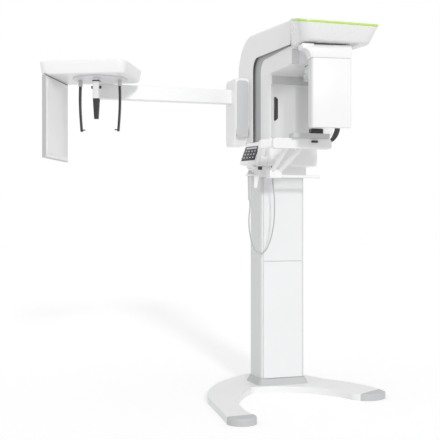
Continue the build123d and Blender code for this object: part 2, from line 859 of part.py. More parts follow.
with BuildPart() as switch_button:
    with BuildSketch(Plane.XY.offset(switch_top - 10 + button_press + 0.5)):
        with Locations((switch_x, switch_y)):
            Circle(button_radius)
    extrude(amount=19)
    fillet(switch_button.faces().sort_by(Axis.Z)[-1].edges(), radius=4)
save(switch_button.part, "switch_button")

with BuildPart() as switch_holder:
    with BuildSketch(Plane.XY.offset(1302)):
        with Locations((-215, -165)):
            RectangleRounded(22, 26, 6)
    with BuildSketch(Plane.XY.offset(1428)):
        with Locations((-205, -165)):
            RectangleRounded(44, 40, 8)
    loft()
    add(block(-227, -120, -185, -145, 1427, shroud_bottom - seam, 6))
    add(block(-275, -205, -190, -150, clip_top - 8, clip_top - 0.2, 8))
    with BuildSketch(Plane.XY.offset(1300)):
        with Locations((switch_x, switch_y)):
            Circle(switch_high_radius + 0.5)
    extrude(amount=120, mode=Mode.SUBTRACT)
    add(console_housing.part, mode=Mode.SUBTRACT)
save(switch_holder.part, "switch_holder")

# Cord gland under the shroud and the cord's route to the switch

gland_x = -110.0
gland_y = -200.0
with BuildPart() as cord_gland:
    with BuildSketch(Plane.XY.offset(shroud_bottom)):
        with Locations((gland_x, gland_y)):
            Circle(9)
    extrude(amount=-18)
save(cord_gland.part, "cord_gland")

cord_points = [
    (gland_x, gland_y, 1421),
    (gland_x, gland_y, 1366),
    (-106, -202, 1308),
    (-99, -204, 1248),
    (-97, -203, 1190),
    (-97, -201, 1131),
    (-101, -198, 1073),
    (-110, -194, 1016),
    (-122, -190, 968),
    (-136, -187, 930),
    (-155, -184, 900),
    (-181, -181, 887),
    (-208, -178, 898),
    (-228, -176, 926),
    (-242, -175, 964),
    (-252, -173, 1012),
    (-258, -172, 1064),
    (-258, -171, 1118),
    (switch_x, switch_y, 1172),
    (switch_x, switch_y, switch_bottom),
]


def corner_radii(points):
    """Radius of each bend: nearly all that the shorter of its two runs allows."""
    radii = []
    for before, here, after in zip(points, points[1:], points[2:]):
        first = Vector(*here) - Vector(*before)
        second = Vector(*after) - Vector(*here)
        turn = radians(first.get_angle(second))
        radii.append(0.45 * min(first.length, second.length) / tan(turn / 2))
    return radii


cord_bends = corner_radii(cord_points)
print("cord bend radii:", [round(bend) for bend in cord_bends])
with BuildPart() as switch_cord:
    with BuildLine() as cord_path:
        FilletPolyline(*cord_points, radius=cord_bends)
    with BuildSketch(Plane(origin=cord_path.line @ 0, z_dir=cord_path.line % 0)):
        Circle(cord_radius)
    sweep()
print("cord length:", round(cord_path.wires()[0].length))
print("cord volume:", round(switch_cord.part.volume))
save(switch_cord.part, "switch_cord")
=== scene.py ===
import json
import math

import bmesh
import bpy
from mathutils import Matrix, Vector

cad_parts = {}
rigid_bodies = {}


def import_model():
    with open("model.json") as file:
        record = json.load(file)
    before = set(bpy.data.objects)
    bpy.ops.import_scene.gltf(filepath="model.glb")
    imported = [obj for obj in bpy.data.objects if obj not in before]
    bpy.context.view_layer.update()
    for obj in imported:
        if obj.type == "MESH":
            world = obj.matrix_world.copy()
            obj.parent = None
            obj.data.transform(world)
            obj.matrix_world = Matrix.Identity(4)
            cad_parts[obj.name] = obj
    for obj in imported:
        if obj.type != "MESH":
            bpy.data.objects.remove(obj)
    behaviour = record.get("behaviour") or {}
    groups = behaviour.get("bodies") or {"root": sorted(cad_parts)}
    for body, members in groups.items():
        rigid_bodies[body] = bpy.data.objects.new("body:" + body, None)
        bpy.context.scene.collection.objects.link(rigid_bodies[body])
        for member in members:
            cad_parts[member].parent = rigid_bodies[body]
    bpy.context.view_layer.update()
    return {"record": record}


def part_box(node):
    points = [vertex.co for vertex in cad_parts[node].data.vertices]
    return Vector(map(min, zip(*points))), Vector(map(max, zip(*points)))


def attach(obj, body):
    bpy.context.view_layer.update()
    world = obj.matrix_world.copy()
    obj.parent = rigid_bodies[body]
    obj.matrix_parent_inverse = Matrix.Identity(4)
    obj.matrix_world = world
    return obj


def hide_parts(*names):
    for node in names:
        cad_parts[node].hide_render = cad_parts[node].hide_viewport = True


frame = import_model()

# Camera: a long lens at chest height, level, from the left of the unit's front

camera_place = (-2.190, -5.529, 1.100)
camera_turn = -18.0
camera_lens = 74.0


def add_camera():
    """The photograph's view."""
    data = bpy.data.cameras.new("camera")
    data.lens = camera_lens
    data.sensor_width = 36.0
    camera = bpy.data.objects.new("camera", data)
    camera.location = camera_place
    camera.rotation_euler = (math.radians(90), 0, math.radians(camera_turn))
    bpy.context.scene.collection.objects.link(camera)
    bpy.context.scene.camera = camera


add_camera()

# Cord of the exposure switch, on the same route as its solid

cord_diameter = 0.008
cord_points = [
    (-0.110, -0.200, 1.421),
    (-0.110, -0.200, 1.366),
    (-0.106, -0.202, 1.308),
    (-0.099, -0.204, 1.248),
    (-0.097, -0.203, 1.190),
    (-0.097, -0.201, 1.131),
    (-0.101, -0.198, 1.073),
    (-0.110, -0.194, 1.016),
    (-0.122, -0.190, 0.968),
    (-0.136, -0.187, 0.930),
    (-0.155, -0.184, 0.900),
    (-0.181, -0.181, 0.887),
    (-0.208, -0.178, 0.898),
    (-0.228, -0.176, 0.926),
    (-0.242, -0.175, 0.964),
    (-0.252, -0.173, 1.012),
    (-0.258, -0.172, 1.064),
    (-0.258, -0.171, 1.118),
    (-0.250, -0.170, 1.172),
    (-0.250, -0.170, 1.223),
]


def add_cord():
    """A smooth curve through the loop that hangs below the console."""
    data = bpy.data.curves.new("exposure_cord", "CURVE")
    data.dimensions = "3D"
    data.bevel_depth = 1.0
    data.bevel_resolution = 4
    data.resolution_u = 10
    data.use_fill_caps = True
    spline = data.splines.new("NURBS")
    spline.points.add(len(cord_points) - 1)
    for point, place in zip(spline.points, cord_points):
        point.co = (*place, 1.0)
        point.radius = cord_diameter / 2
    spline.order_u = 3
    spline.use_endpoint_u = True
    cord = bpy.data.objects.new("exposure_cord", data)
    bpy.context.scene.collection.objects.link(cord)
    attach(cord, "carriage")
    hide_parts("switch_cord")
    return cord


cord = add_cord()


# Shader maths


class Wire:
    """A node's output that can be added, multiplied and so on in plain expressions."""

    def __init__(self, shader, socket):
        self.shader = shader
        self.socket = socket

    def join(self, operation, other, swap=False):
        """A Math node on this output and another value."""
        pair = (other, self) if swap else (self, other)
        return self.shader.node("ShaderNodeMath", {"operation": operation}, {0: pair[0], 1: pair[1]})

    def __add__(self, other):
        return self.join("ADD", other)

    __radd__ = __add__

    def __sub__(self, other):
        return self.join("SUBTRACT", other)

    def __rsub__(self, other):
        return self.join("SUBTRACT", other, swap=True)

    def __mul__(self, other):
        return self.join("MULTIPLY", other)

    __rmul__ = __mul__

    def clamped(self):
        """The value held between 0 and 1."""
        return self.shader.node("ShaderNodeClamp", {}, {"Value": self})


class Nodes:
    """A cleared node tree and the one method that adds to it."""

    def __init__(self, tree):
        self.tree = tree
        self.tree.nodes.clear()

    def node(self, kind, settings, inputs, output=0):
        """Add a node, set it up, feed its sockets and give back one output."""
        made = self.tree.nodes.new(kind)
        for key, value in settings.items():
            setattr(made, key, value)
        for key, value in inputs.items():
            self.feed(made.inputs[key], value)
        return Wire(self, made.outputs[output])

    def feed(self, socket, value):
        """Link or set one socket."""
        if isinstance(value, Wire):
            self.tree.links.new(value.socket, socket)
        elif value is not None:
            socket.default_value = value

    def seen_ray(self):
        """One for a ray from the camera, or one sent on by gloss or glass, and zero for the rest."""
        camera = self.node("ShaderNodeLightPath", {}, {}, "Is Camera Ray")
        glossy = self.node("ShaderNodeLightPath", {}, {}, "Is Glossy Ray")
        transmission = self.node("ShaderNodeLightPath", {}, {}, "Is Transmission Ray")
        return (camera + glossy + transmission).clamped()


class Shader(Nodes):
    """One material and the nodes that make it."""

    def __init__(self, name):
        self.material = bpy.data.materials.new(name)
        self.material.use_nodes = True
        super().__init__(self.material.node_tree)
        self.surface = self.tree.nodes.new("ShaderNodeBsdfPrincipled")
        output = self.tree.nodes.new("ShaderNodeOutputMaterial")
        self.tree.links.new(self.surface.outputs[0], output.inputs["Surface"])
        self.place = self.node("ShaderNodeTexCoord", {}, {}, "Object")

    def set(self, **inputs):
        """Feed the surface's sockets by name, with underscores for spaces."""
        for key, value in inputs.items():
            self.feed(self.surface.inputs[key.replace("_", " ")], value)

    def noise(self, scale, detail=3.0, roughness=0.5, stretch=None):
        """Soft noise on the piece's own place, stretched along one axis if asked."""
        place = self.place
        if stretch:
            place = self.node("ShaderNodeMapping", {}, {"Vector": place, "Scale": stretch})
        return self.node(
            "ShaderNodeTexNoise",
            {},
            {"Vector": place, "Scale": scale, "Detail": detail, "Roughness": roughness},
        )

    def tint(self, mask, dark, light):
        """A colour that goes from one tone to another by a mask."""
        return self.node(
            "ShaderNodeMix",
            {"data_type": "RGBA"},
            {"Factor": mask, 6: (*dark, 1.0), 7: (*light, 1.0)},
            2,
        )

    def bump(self, height, strength, distance):
        """A normal raised by a height."""
        return self.node(
            "ShaderNodeBump", {}, {"Height": height, "Strength": strength, "Distance": distance}
        )


def scaled(colour, share):
    """A colour made darker or lighter by a share."""
    return tuple(min(1.0, part * share) for part in colour)


def moulded(name, colour, roughness=0.38, grain=900.0, coat=0.0, depth=0.00006):
    """Moulded or painted plastic: fine grain, faint cloudiness and handling marks."""
    shader = Shader(name)
    cloud = shader.noise(3.0, 4.0)
    texture = shader.noise(grain, 2.0)
    marks = shader.noise(14.0, 5.0, 0.6)
    shader.set(
        Base_Color=shader.tint(cloud, scaled(colour, 0.965), scaled(colour, 1.02)),
        Roughness=(roughness - 0.05 + marks * 0.10).clamped(),
        Normal=shader.bump(texture, 0.15, depth),
        Coat_Weight=coat,
        Coat_Roughness=0.12,
    )
    return shader.material


def brushed(name, colour, roughness, stretch, metallic=0.85):
    """Satin metal with a fine grain that runs one way."""
    shader = Shader(name)
    grain = shader.noise(60.0, 4.0, 0.6, stretch)
    cloud = shader.noise(2.5, 3.0)
    shader.set(
        Base_Color=shader.tint(cloud, scaled(colour, 0.95), scaled(colour, 1.03)),
        Roughness=(roughness - 0.06 + grain * 0.14).clamped(),
        Metallic=metallic,
        Normal=shader.bump(grain, 0.15, 0.00005),
    )
    return shader.material


def glossy(name, colour, roughness=0.08, metallic=0.0):
    """Smoked or tinted gloss panel with faint wiping marks."""
    shader = Shader(name)
    wipe = shader.noise(9.0, 4.0, 0.6, (1.0, 1.0, 0.3))
    shader.set(
        Base_Color=shader.tint(wipe, scaled(colour, 0.94), scaled(colour, 1.04)),
        Roughness=(roughness + wipe * 0.06).clamped(),
        Metallic=metallic,
        Coat_Weight=0.4,
        Coat_Roughness=0.05,
    )
    return shader.material


finishes = {
    "light_paint": moulded("base paint", (0.88, 0.88, 0.885), 0.42, 700.0),
    "grey_cap": moulded("foot cap grey", (0.55, 0.555, 0.56), 0.5, 500.0),
    "column_alu": brushed("column profile", (0.72, 0.725, 0.73), 0.42, (1, 1, 0.02), 0.25),
    "cover_paint": moulded("column cover silver", (0.85, 0.855, 0.86), 0.34, 1200.0),
    "motor_metal": moulded("motor paint", (0.05, 0.05, 0.052), 0.55),
    "steel": brushed("ground steel", (0.55, 0.55, 0.56), 0.28, (1, 1, 0.03)),
    "mid_grey": moulded("mid grey moulding", (0.60, 0.605, 0.61), 0.42),
    "light_grey": moulded("light grey moulding", (0.80, 0.805, 0.81), 0.38),
    "shell_white": moulded("pearl white moulding", (0.92, 0.92, 0.922), 0.30, 1100.0, 0.15),
    "shell_silver": moulded("silver grey moulding", (0.91, 0.912, 0.915), 0.30, 1100.0, 0.15),
    "canopy_grey": moulded("canopy silver", (0.84, 0.843, 0.85), 0.28, 1100.0, 0.2),
    "lime": moulded("lime trim", (0.56, 0.83, 0.10), 0.28, 1100.0, 0.3),
    "dark": moulded("black moulding", (0.022, 0.022, 0.023), 0.40),
    # The smoked panel and the mirror carry paler colours than their real dark tone: painted
    # reflection of the white surroundings and painted light in the arch's shaded hollow.
    "smoked": glossy("smoked panel paled as painted reflection", (0.66, 0.662, 0.665)),
    "mirror": glossy("tinted mirror", (0.84, 0.842, 0.846), 0.12, 0.35),
    "arm_alu": brushed("skull arm aluminium", (0.90, 0.902, 0.905), 0.34, (0.02, 1, 1), 0.2),
    "tube_metal": moulded("table tube paint", (0.92, 0.922, 0.925), 0.32),
    "cord_grey": moulded("cord jacket", (0.50, 0.505, 0.51), 0.55, 900.0),
}
extra_finishes = {
    "liner": moulded("grey liner", (0.50, 0.503, 0.507), 0.5),
    # The panel edge's grey is painted shade on the white panel's narrow side.
    "edge": moulded("panel edge painted shade", (0.50, 0.502, 0.505), 0.42),
    "key": moulded("key tops", (0.62, 0.63, 0.64), 0.45),
    "glass": glossy("console glass", (0.02, 0.021, 0.023), 0.06),
    "window": moulded("slot window", (0.035, 0.036, 0.038), 0.3),
}


def dress_nodes():
    """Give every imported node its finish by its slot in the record."""
    for part in frame["record"]["subparts"]:
        node = bpy.data.objects[part["node"]]
        material = finishes[part["material_slot"]]
        if not node.material_slots:
            node.data.materials.append(material)
        for slot in node.material_slots:
            slot.material = material


dress_nodes()
own_looks = {
    "liner_left": extra_finishes["liner"],
    "liner_right": extra_finishes["liner"],
    "ceph_rotor": finishes["light_grey"],
    "bearing_drum": finishes["light_grey"],
    "carriage_collar": finishes["shell_white"],
    "lower_shroud": finishes["shell_white"],
    "ceph_bracket": finishes["shell_white"],
    "switch_holder": finishes["shell_white"],
    "exposure_switch": finishes["mid_grey"],
    "ceph_sensor_panel": finishes["shell_white"],
    "canopy_underplate": finishes["mid_grey"],
    "gantry_bridge": finishes["light_grey"],
    "gantry_hub": finishes["light_grey"],
    "nose_block": finishes["light_grey"],
}
for name, look in own_looks.items():
    bpy.data.objects[name].material_slots[0].material = look
cord.data.materials.append(finishes["cord_grey"])

# Modelling helpers


def start_box(name, low, high):
    """A block between two corners, with its place in its mesh."""
    bpy.ops.object.select_all(action="DESELECT")
    middle = [(a + b) / 2 for a, b in zip(low, high)]
    size = [b - a for a, b in zip(low, high)]
    bpy.ops.mesh.primitive_cube_add(size=1.0, location=middle, scale=size)
    made = bpy.context.object
    made.name = name
    bpy.ops.object.transform_apply(location=True, rotation=False, scale=True)
    return made


def bevel_where(made, test, width, segments, curve=0.5):
    """Round the edges whose two ends both pass a test."""
    bpy.ops.object.select_all(action="DESELECT")
    made.select_set(True)
    bpy.context.view_layer.objects.active = made
    bpy.ops.object.mode_set(mode="EDIT")
    mesh = bmesh.from_edit_mesh(made.data)
    for vertex in mesh.verts:
        vertex.select = False
    for edge in mesh.edges:
        edge.select = test(edge.verts[0].co, edge.verts[1].co)
    bmesh.update_edit_mesh(made.data)
    bpy.ops.mesh.select_mode(type="EDGE")
    bpy.ops.mesh.bevel(
        offset=width, segments=segments, affect="EDGES", clamp_overlap=True, profile=curve
    )
    bpy.ops.object.mode_set(mode="OBJECT")


def upright_edge(a, b):
    """True for an edge that runs up and down."""
    return abs(a.x - b.x) < 1e-5 and abs(a.y - b.y) < 1e-5


def sharp_bevel(made, width, segments, angle=40.0):
    """Round every sharp edge with a bevel modifier that is applied."""
    bpy.context.view_layer.objects.active = made
    bevel = made.modifiers.new("round", "BEVEL")
    bevel.width = width
    bevel.segments = segments
    bevel.limit_method = "ANGLE"
    bevel.angle_limit = math.radians(angle)
    bpy.ops.object.modifier_apply(modifier="round")


def narrow_below(made, middle, share):
    """Draw the lower corners in towards a middle point."""
    low = min(vertex.co.z for vertex in made.data.vertices)
    high = max(vertex.co.z for vertex in made.data.vertices)
    for vertex in made.data.vertices:
        part = (high - vertex.co.z) / (high - low)
        scale = 1.0 - share * part
        vertex.co.x = middle[0] + (vertex.co.x - middle[0]) * scale
        vertex.co.y = middle[1] + (vertex.co.y - middle[1]) * scale


def settle(made, yaw=0.0, pivot=(0.0, 0.0, 0.0)):
    """Turn a piece about an upright axis and put the turn into its mesh."""
    bpy.ops.object.select_all(action="DESELECT")
    made.select_set(True)
    bpy.context.view_layer.objects.active = made
    made.location = pivot
    made.rotation_euler = (0, 0, math.radians(yaw))
    bpy.ops.object.transform_apply(location=True, rotation=True, scale=True)
    bpy.ops.object.shade_smooth_by_angle(angle=math.radians(35))


def hand_over(made, material, body, slot, *nodes):
    """Give a piece its finish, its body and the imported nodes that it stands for."""
    made.data.materials.clear()
    made.data.materials.append(material)
    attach(made, body)
    if nodes:
        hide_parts(*nodes)


def outline_solid(name, outline, push):
    """A flat outline pulled out along one direction."""
    bpy.ops.object.select_all(action="DESELECT")
    bpy.ops.mesh.primitive_circle_add(vertices=len(outline), radius=1.0, fill_type="NGON")
    made = bpy.context.object
    made.name = name
    for vertex, place in zip(made.data.vertices, outline):
        vertex.co = place
    bpy.ops.object.mode_set(mode="EDIT")
    bpy.ops.mesh.select_all(action="SELECT")
    bpy.ops.mesh.extrude_region_move(TRANSFORM_OT_translate={"value": push})
    bpy.ops.mesh.select_all(action="SELECT")
    bpy.ops.mesh.normals_make_consistent(inside=False)
    bpy.ops.object.mode_set(mode="OBJECT")
    return made


def open_where(made, test):
    """Delete the faces whose middle passes a test."""
    bpy.context.view_layer.objects.active = made
    bpy.ops.object.mode_set(mode="EDIT")
    bpy.ops.mesh.select_mode(type="FACE")
    mesh = bmesh.from_edit_mesh(made.data)
    for face in mesh.faces:
        face.select = test(face.calc_center_median())
    bmesh.update_edit_mesh(made.data)
    bpy.ops.mesh.delete(type="FACE")
    bpy.ops.object.mode_set(mode="OBJECT")


def give_wall(made, thickness):
    """Thicken an open skin inwards."""
    bpy.context.view_layer.objects.active = made
    wall = made.modifiers.new("wall", "SOLIDIFY")
    wall.thickness = thickness
    wall.offset = -1.0
    wall.use_even_offset = True
    bpy.ops.object.modifier_apply(modifier="wall")


def cut_round(made, centre, radius, low, high):
    """Cut an upright round hole."""
    bpy.ops.object.select_all(action="DESELECT")
    bpy.ops.mesh.primitive_cylinder_add(
        vertices=64, radius=radius, depth=high - low, location=(*centre, (low + high) / 2)
    )
    cutter = bpy.context.object
    cut = made.modifiers.new("cut", "BOOLEAN")
    cut.operation = "DIFFERENCE"
    cut.object = cutter
    bpy.context.view_layer.objects.active = made
    bpy.ops.object.modifier_apply(modifier="cut")
    bpy.data.objects.remove(cutter)


# Arched carriage: the outer shell over the back and the inner shell below it

# The outer shell keeps the solid's width and back: the lift nut and the arm's bracket meet it there
arch_half, arch_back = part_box("outer_shell")[1][:2]
arch_wall = 0.004
arch_back_round = 0.26
arch_inner_round = 0.085
arch_edge_round = 0.020
arch_outline = [
    (arch_back, 1.603),
    (arch_back, 2.321),
    (-0.655, 2.269),
    (-0.655, 2.122),
    (-0.018, 2.142),
    (-0.018, 1.603),
]
inner_half = 0.160
inner_back_round = 0.075
inner_corner_round = 0.016
inner_edge_round = 0.009
inner_outline = [
    (-0.122, 1.603),
    (-0.122, 2.108),
    (-0.638, 2.120),
    (-0.638, 2.010),
    (-0.290, 2.010),
    (-0.290, 1.603),
]
drum_centre = (0.0, -0.620)
drum_hole_radius = 0.121


def across(place):
    """True for an edge that runs from side to side."""
    return lambda a, b: (abs(a.y - b.y) < 1e-5 and abs(a.z - b.z) < 1e-5
                         and abs(a.y - place[0]) < 1e-4 and abs(a.z - place[1]) < 1e-4)


def build_outer_arch():
    """The outer shell: rounded over the back, with softly rounded long edges."""
    arch = outline_solid("outer_arch", [(-arch_half, y, z) for y, z in arch_outline],
                         (2 * arch_half, 0, 0))
    bevel_where(arch, across(arch_outline[1]), arch_back_round, 14)
    bevel_where(arch, across(arch_outline[4]), arch_inner_round, 8)
    bevel_where(arch, lambda a, b: a.x * b.x > 0 and (a.z > 2.2 or a.y > 0.15)
                and (b.z > 2.2 or b.y > 0.15) and a.z + b.z > 3.25, arch_edge_round, 6)
    open_where(arch, lambda c: abs(c.x) < 0.1 and (
        c.z < 1.61 or c.y < -0.65 or (c.y < 0.1 and c.z < 2.2)))
    give_wall(arch, arch_wall)
    settle(arch)
    hand_over(arch, finishes["shell_silver"], "carriage", "shell_silver", "outer_shell")


def build_inner_arch():
    """The inner shell: front of the leg and ceiling, with a hole for the bearing drum."""
    arch = outline_solid("inner_arch", [(-inner_half, y, z) for y, z in inner_outline],
                         (2 * inner_half, 0, 0))
    bevel_where(arch, across(inner_outline[1]), inner_back_round, 8)
    bevel_where(arch, across(inner_outline[4]), inner_corner_round, 4)
    bevel_where(arch, lambda a, b: a.x * b.x > 0 and a.y < -0.27 and b.y < -0.27
                and a.z < 2.03 and b.z < 2.03, inner_edge_round, 4)
    open_where(arch, lambda c: abs(c.x) < 0.1 and (
        c.z < 1.61 or c.y > -0.2 or (c.z > 2.05 and c.y > -0.63)))
    give_wall(arch, arch_wall)
    cut_round(arch, drum_centre, drum_hole_radius, 1.9, 2.2)
    settle(arch)
    hand_over(arch, finishes["shell_silver"], "carriage", "shell_white", "inner_shell")


# Canopy over the gantry: flared sides, round front corners, lime trim and lid

canopy_low = [
    (-0.216, -0.942),
    (0.216, -0.942),
    (0.197, -0.800),
    (0.168, -0.640),
    (-0.168, -0.640),
    (-0.197, -0.800),
]
canopy_rim = [
    (-0.260, -0.980),
    (0.260, -0.980),
    (0.226, -0.800),
    (0.176, -0.640),
    (-0.176, -0.640),
    (-0.226, -0.800),
]
canopy_bottom = 2.094
rim_rise = 0.2235


def rim_height(y):
    """Height of the canopy's sloped rim at a depth."""
    return 2.190 + (y + 0.980) * rim_rise


def canopy_layer(name, low, high, front_round, edge_round):
    """One layer of the canopy between two outlines of places."""
    made = outline_solid(name, low, (0, 0, 0.01))
    count = len(low)
    tops = sorted(range(len(made.data.vertices)), key=lambda i: made.data.vertices[i].co.z)[count:]
    for index in tops:
        vertex = made.data.vertices[index]
        gaps = [(place[0] - vertex.co.x) ** 2 + (place[1] - vertex.co.y) ** 2 for place in low]
        vertex.co = high[gaps.index(min(gaps))]
    bevel_where(made, lambda a, b: a.y < -0.93 and b.y < -0.93 and a.x * b.x > 0
                and abs(a.z - b.z) > 0.003, front_round, 10)
    bevel_where(made, lambda a, b: -0.81 < a.y < -0.79 and -0.81 < b.y < -0.79 and a.x * b.x > 0
                and abs(a.z - b.z) > 0.003, 0.06, 6)
    sharp_bevel(made, edge_round, 4, 45.0)
    settle(made)
    return made


def rim_ring(inset, lift):
    """The rim's outline drawn in and lifted."""
    ring = []
    for x, y in canopy_rim:
        edge = math.copysign(inset, x)
        depth = y + inset if y < -0.9 else y
        ring.append((x - edge, depth, rim_height(y) + lift))
    return ring


def build_canopy():
    """Body, lime trim and lid."""
    low = [(x, y, canopy_bottom) for x, y in canopy_low]
    body = canopy_layer("canopy_body", low, rim_ring(0.0, 0.0), 0.075, 0.012)
    hand_over(body, finishes["canopy_grey"], "carriage", "canopy_grey", "canopy")
    trim = canopy_layer("canopy_lime", rim_ring(0.0, -0.003), rim_ring(-0.001, 0.006), 0.075, 0.001)
    hand_over(trim, finishes["lime"], "carriage", "lime", "canopy_trim")
    lid = canopy_layer("canopy_cover", rim_ring(0.006, 0.003), rim_ring(0.009, 0.010), 0.070, 0.002)
    hand_over(lid, finishes["shell_white"], "carriage", "canopy_grey", "canopy_lid")


# Tube housing: a white front in two pieces with a seam, a grey core and a light grey rear

gantry_pivot = (0.0, -0.620, 0.0)
gantry_yaw = -7.0
tube_half = 0.120
tube_left = 0.111
tube_front = -0.300
tube_split = -0.262
tube_back = -0.191
tube_low = 1.618
tube_high = 2.086
tube_seam = 2.006
seam_gap = 0.0016
tube_side_round = 0.014
tube_head_round = 0.036
tube_rear_round = 0.022
flare_round = 0.050


def tube_face(name, low, high, rounded_top):
    """One white front piece of the tube housing."""
    face = start_box(name, (-tube_left, tube_front, low), (tube_half, tube_split, high))
    if rounded_top:
        bevel_where(face, lambda a, b: a.z > high - 1e-5 and b.z > high - 1e-5
                    and a.y < tube_front + 1e-5 and b.y < tube_front + 1e-5, tube_head_round, 10)
    bevel_where(face, lambda a, b: upright_edge(a, b) and a.y < tube_front + 1e-5,
                tube_side_round, 6)
    sharp_bevel(face, 0.0012, 2, 50.0)
    settle(face, gantry_yaw, gantry_pivot)
    return face


def build_tube_housing():
    """The white front and its seam, the core and rear behind it, and the flared shoulder."""
    lower = tube_face("tube_face_lower", tube_low, tube_seam - seam_gap / 2, False)
    hand_over(lower, finishes["shell_white"], "gantry", "shell_white", "tube_housing")
    upper = tube_face("tube_face_upper", tube_seam + seam_gap / 2, tube_high, True)
    hand_over(upper, finishes["shell_white"], "gantry", "shell_white")
    core = start_box("tube_core", (-tube_left + 0.004, tube_front + 0.004, tube_low + 0.004),
                     (tube_half - 0.004, tube_split + 0.002, tube_high - 0.040))
    sharp_bevel(core, 0.010, 4)
    settle(core, gantry_yaw, gantry_pivot)
    hand_over(core, extra_finishes["liner"], "gantry", "dark")
    rear = start_box("tube_rear", (-tube_left + 0.003, tube_split + 0.001, tube_low + 0.006),
                     (tube_half - 0.003, tube_back, tube_high - 0.004))
    bevel_where(rear, lambda a, b: upright_edge(a, b) and a.y > tube_back - 1e-5,
                tube_rear_round, 6)
    sharp_bevel(rear, 0.004, 3, 50.0)
    settle(rear, gantry_yaw, gantry_pivot)
    hand_over(rear, finishes["light_grey"], "gantry", "light_grey")
    flare = start_box("tube_flare", (-0.166, tube_front + 0.006, tube_seam),
                      (-tube_left + 0.012, -0.205, 2.084))
    bevel_where(flare, lambda a, b: a.x < -0.16 and b.x < -0.16 and a.z < 2.01 and b.z < 2.01,
                flare_round, 10, 0.08)
    sharp_bevel(flare, 0.003, 3, 45.0)
    settle(flare, gantry_yaw, gantry_pivot)
    hand_over(flare, finishes["shell_silver"], "gantry", "shell_white")


# Skull arm's head: crowned canopy, and the panel with painted shade on it: a grey edge and foot, and
# a dark strip for the shadow under the canopy

skull_pivot = (-1.180, -0.050, 0.0)
skull_yaw = -26.0


def build_skull_head():
    """The canopy with drawn-in sides and a low crown, and the panel's edge and frame, whose grey
    edge, grey foot and dark top strip are painted shade.
    """
    canopy = start_box("skull_canopy", (-0.322, -0.222, 1.9616), (0.217, 0.228, 2.0395))
    bevel_where(canopy, upright_edge, 0.055, 8)
    narrow_below(canopy, (-0.052, 0.003), 0.05)
    sharp_bevel(canopy, 0.010, 4, 50.0)
    settle(canopy, skull_yaw, skull_pivot)
    hand_over(canopy, finishes["shell_white"], "carriage", "shell_white", "ceph_canopy")
    lid = start_box("skull_lid", (-0.290, -0.190, 2.0385), (0.187, 0.196, 2.0480))
    bevel_where(lid, upright_edge, 0.036, 8)
    sharp_bevel(lid, 0.0035, 3, 50.0)
    settle(lid, skull_yaw, skull_pivot)
    hand_over(lid, finishes["shell_white"], "carriage", "shell_white")
    # The grey edge strip is painted shade on the white panel's narrow side.
    edge = start_box("panel_edge", (-0.2925, -0.2185, 1.4725), (-0.2695, -0.2120, 1.9600))
    sharp_bevel(edge, 0.0028, 3)
    settle(edge, skull_yaw, skull_pivot)
    hand_over(edge, extra_finishes["edge"], "carriage", "mid_grey")
    # The grey foot along the panel's bottom is painted shade on the white panel's underside.
    foot = start_box("panel_foot", (-0.2930, -0.2185, 1.4690), (-0.2690, 0.2160, 1.4760))
    sharp_bevel(foot, 0.0028, 3)
    settle(foot, skull_yaw, skull_pivot)
    hand_over(foot, finishes["mid_grey"], "carriage", "mid_grey")
    # A dark strip along the panel's top under the canopy: painted shadow of the canopy's overhang.
    seam = start_box("panel_top_painted_shadow", (-0.2925, -0.2150, 1.9560), (-0.2695, 0.2140, 1.9612))
    sharp_bevel(seam, 0.0012, 2)
    settle(seam, skull_yaw, skull_pivot)
    hand_over(seam, finishes["dark"], "carriage", "mid_grey")
    plate = start_box("panel_plate", (-0.2705, -0.196, 1.496), (-0.2675, 0.200, 1.944))
    bevel_where(plate, lambda a, b: abs(a.y - b.y) < 1e-5 and abs(a.z - b.z) < 1e-5, 0.010, 5)
    sharp_bevel(plate, 0.0010, 2, 50.0)
    settle(plate, skull_yaw, skull_pivot)
    hand_over(plate, finishes["shell_white"], "carriage", "shell_white")


# Ear arms: bowed blades with a plug, and the nose rest's ring and knobs

ear_spread = 0.119
blade_low = 1.640
blade_high = 1.952
knob_radius = 0.009
knob_length = 0.012

def build_ear_arm(side, body, node):
    """One bowed black arm with its ear plug and its grey foot."""
    x = side * ear_spread
    blade = start_box("ear_blade", (x - 0.0065, -0.011, blade_low), (x + 0.0065, 0.011, blade_high))
    bpy.ops.object.mode_set(mode="EDIT")
    bpy.ops.mesh.select_all(action="SELECT")
    bpy.ops.mesh.subdivide(number_cuts=15)
    bpy.ops.object.mode_set(mode="OBJECT")
    for vertex in blade.data.vertices:
        part = (vertex.co.z - blade_low) / (blade_high - blade_low)
        vertex.co.x += side * (0.007 * math.sin(math.pi * part) + 0.008 * part - 0.005)
        vertex.co.x = x + (vertex.co.x - x) * (0.85 + 0.15 * part)
    sharp_bevel(blade, 0.0025, 3, 60.0)
    settle(blade, skull_yaw, skull_pivot)
    hand_over(blade, finishes["dark"], body, "dark", node)
    bpy.ops.object.select_all(action="DESELECT")
    bpy.ops.mesh.primitive_cylinder_add(
        vertices=32, radius=0.0035, depth=0.024, location=(x - side * 0.015, 0, 1.650),
        rotation=(0, math.radians(90), 0),
    )
    plug = bpy.context.object
    plug.name = "ear_plug"
    bpy.ops.object.transform_apply(location=True, rotation=True, scale=True)
    sharp_bevel(plug, 0.0014, 3)
    settle(plug, skull_yaw, skull_pivot)
    hand_over(plug, finishes["dark"], body, "dark")
    foot_x = x + side * 0.004
    foot = start_box("ear_foot", (foot_x - 0.010, -0.015, 1.915), (foot_x + 0.010, 0.015, 1.9525))
    bevel_where(foot, upright_edge, 0.005, 4)
    sharp_bevel(foot, 0.0015, 2)
    settle(foot, skull_yaw, skull_pivot)
    hand_over(foot, finishes["mid_grey"], body, "mid_grey")


